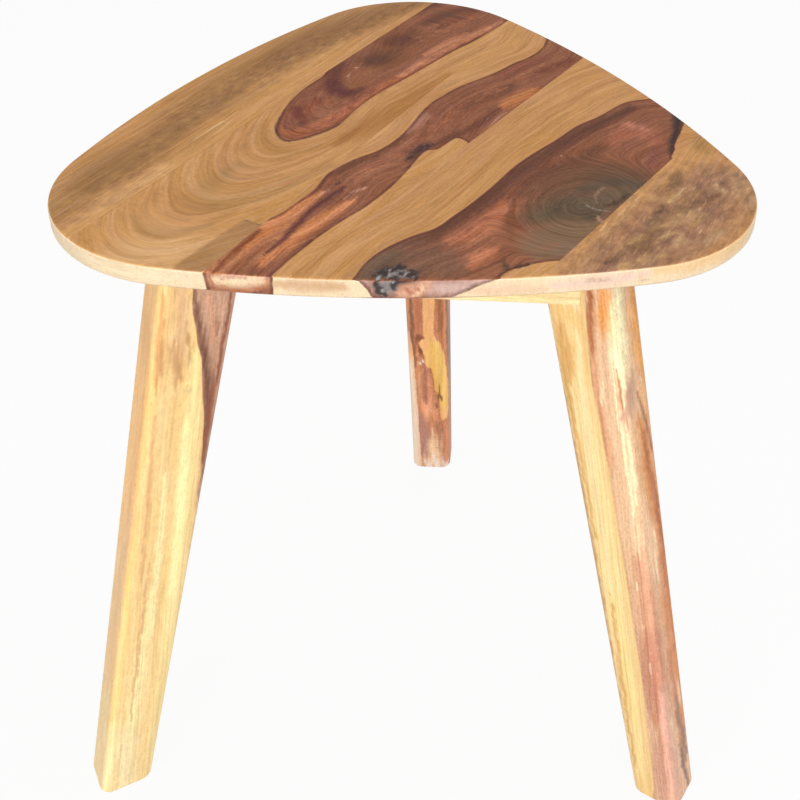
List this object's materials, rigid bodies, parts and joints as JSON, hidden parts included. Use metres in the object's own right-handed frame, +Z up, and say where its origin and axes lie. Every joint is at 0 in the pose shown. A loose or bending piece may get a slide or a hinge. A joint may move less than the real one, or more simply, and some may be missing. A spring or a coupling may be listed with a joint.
{
  "type": "side table",
  "caption": "Low side table with a rounded triangular solid wood top on splayed, tapered legs, tied by an apron frame with corner blocks.",
  "frame": {"origin": "on the floor, under the centre of the whole table's bounding box; the centre of the three feet is 50.1 mm in front of it", "axes": "+Z up; +X to the right of someone who looks at the front apron rail; +Y to the back, the way the rear leg points"},
  "size_m": [0.5124, 0.4762, 0.55],
  "materials": {
    "top_wood": "clear satin lacquer over edge-glued hardwood boards, pale gold with dark red-brown heartwood",
    "leg_wood": "clear satin lacquer over hardwood, straw yellow with brown streaks",
    "rail_wood": "clear satin lacquer over hardwood",
    "block_wood": "sawn and unfinished hardwood",
    "zinc_steel": "bright zinc plate"
  },
  "bodies": {
    "root": {"top_board_1": "top_wood", "top_board_2": "top_wood", "top_board_3": "top_wood", "top_board_4": "top_wood", "top_board_5": "top_wood", "leg_left": "leg_wood", "leg_right": "leg_wood", "leg_rear": "leg_wood", "apron_rail_front": "rail_wood", "apron_rail_left": "rail_wood", "apron_rail_right": "rail_wood", "corner_block_left": "block_wood", "corner_block_right": "block_wood", "corner_block_rear": "block_wood", "hanger_bolt_left": "zinc_steel", "washer_left": "zinc_steel", "nut_left": "zinc_steel", "hanger_bolt_right": "zinc_steel", "washer_right": "zinc_steel", "nut_right": "zinc_steel", "hanger_bolt_rear": "zinc_steel", "washer_rear": "zinc_steel", "nut_rear": "zinc_steel", "top_screw_left_1": "zinc_steel", "top_screw_left_2": "zinc_steel", "top_screw_right_1": "zinc_steel", "top_screw_right_2": "zinc_steel", "top_screw_rear_1": "zinc_steel", "top_screw_rear_2": "zinc_steel"}
  },
  "joints": []
}
